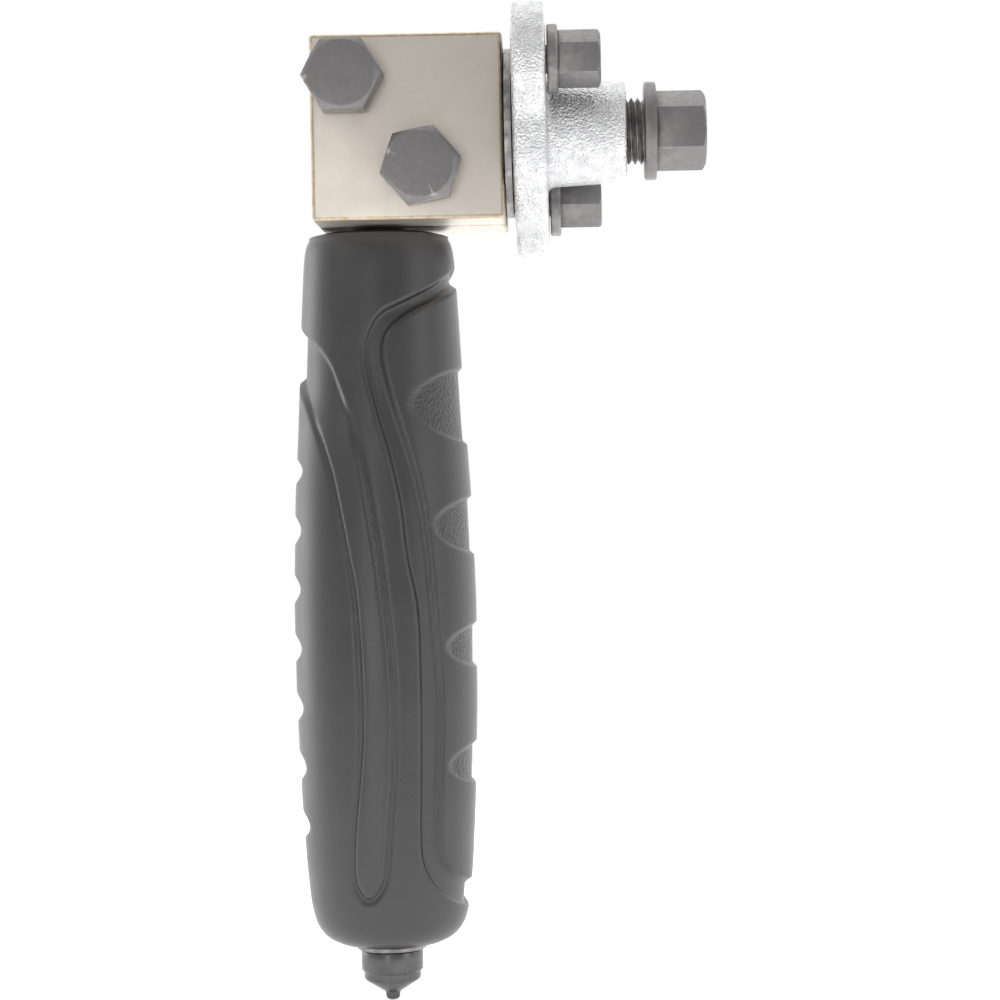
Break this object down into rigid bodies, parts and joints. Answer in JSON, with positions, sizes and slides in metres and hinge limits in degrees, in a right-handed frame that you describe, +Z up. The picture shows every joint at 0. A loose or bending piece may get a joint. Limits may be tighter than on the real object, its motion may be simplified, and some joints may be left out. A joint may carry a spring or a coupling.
{
  "type": "hand-held brake pipe flaring tool",
  "caption": "Split clamp block on a straight moulded grip, with a lobed cast turret, a forcing screw and short die screws, for flaring thin metal pipe by hand.",
  "frame": {"origin": "centre of the clamp block's flat back face", "axes": "+Y out of the back face, +Z up the grip towards the clamp block, +X along the pipe towards the forcing screw"},
  "size_m": [0.1035, 0.0608, 0.242],
  "materials": {
    "nickel_plate": "ground steel with a warm satin nickel plate",
    "blackened_steel": "chemically blackened, satin",
    "cast_zinc": "rough casting with bright zinc plate",
    "turned_steel": "turned dark steel, semi-bright",
    "grip_plastic": "fine matt moulding texture"
  },
  "bodies": {
    "clamp_block": {"rear_clamp_block": "nickel_plate", "index_plate": "blackened_steel", "index_plate_screw_upper": "blackened_steel", "index_plate_screw_lower": "blackened_steel", "turret_circlip": "turned_steel", "dowel_pin_upper": "turned_steel", "dowel_pin_lower": "turned_steel", "handle_rod": "turned_steel", "grip": "grip_plastic", "end_washer": "blackened_steel", "end_plug": "turned_steel"},
    "front_plate": {"front_clamp_plate": "nickel_plate"},
    "upper_bolt": {"clamp_bolt_upper": "blackened_steel"},
    "lower_bolt": {"clamp_bolt_lower": "blackened_steel"},
    "turret": {"turret_body": "cast_zinc"},
    "punch": {"forming_punch": "turned_steel"},
    "forcing_screw": {"forcing_screw": "blackened_steel"},
    "upper_die": {"upper_die": "turned_steel"},
    "upper_die_screw": {"upper_die_screw": "blackened_steel"},
    "lower_die": {"lower_die": "turned_steel"},
    "lower_die_screw": {"lower_die_screw": "blackened_steel"}
  },
  "joints": [
    {"name": "plate_opening", "type": "slide", "parent": "clamp_block", "child": "front_plate", "axis": [0, -1, 0], "range_m": [0, 0.003]},
    {"name": "upper_bolt_turn", "type": "hinge", "parent": "front_plate", "child": "upper_bolt", "pos_m": [-0.0148, -0.036, 0.0117], "axis": [0, -1, 0], "range_deg": [0, 730]},
    {"name": "lower_bolt_turn", "type": "hinge", "parent": "front_plate", "child": "lower_bolt", "pos_m": [0.0034, -0.036, -0.01], "axis": [0, -1, 0], "range_deg": [0, 730]},
    {"name": "turret_turn", "type": "hinge", "parent": "clamp_block", "child": "turret", "pos_m": [0, -0.02, 0], "axis": [1, 0, 0], "continuous": true},
    {"name": "punch_travel", "type": "slide", "parent": "turret", "child": "punch", "axis": [-1, 0, 0], "range_m": [-0.006, 0.004]},
    {"name": "forcing_screw_turn", "type": "hinge", "parent": "punch", "child": "forcing_screw", "pos_m": [0, -0.02, 0], "axis": [-1, 0, 0], "range_deg": [-1460, 973]},
    {"name": "upper_die_travel", "type": "slide", "parent": "turret", "child": "upper_die", "axis": [1, 0, 0], "range_m": [0, 0.0026]},
    {"name": "upper_die_screw_turn", "type": "hinge", "parent": "upper_die", "child": "upper_die_screw", "pos_m": [0, -0.0362, 0.0152], "axis": [1, 0, 0], "range_deg": [0, 720]},
    {"name": "lower_die_travel", "type": "slide", "parent": "turret", "child": "lower_die", "axis": [1, 0, 0], "range_m": [0, 0.0026]},
    {"name": "lower_die_screw_turn", "type": "hinge", "parent": "lower_die", "child": "lower_die_screw", "pos_m": [0, -0.0038, -0.0152], "axis": [1, 0, 0], "range_deg": [0, 720]}
  ],
  "couplings": [
    {"joint": "upper_bolt_turn", "follows": "plate_opening", "rad_per_m": 4188.8},
    {"joint": "lower_bolt_turn", "follows": "plate_opening", "rad_per_m": 4188.8},
    {"joint": "forcing_screw_turn", "follows": "punch_travel", "rad_per_m": 4188.8},
    {"joint": "upper_die_travel", "follows": "upper_die_screw_turn", "m_per_rad": 0.00019894},
    {"joint": "lower_die_travel", "follows": "lower_die_screw_turn", "m_per_rad": 0.00019894}
  ]
}
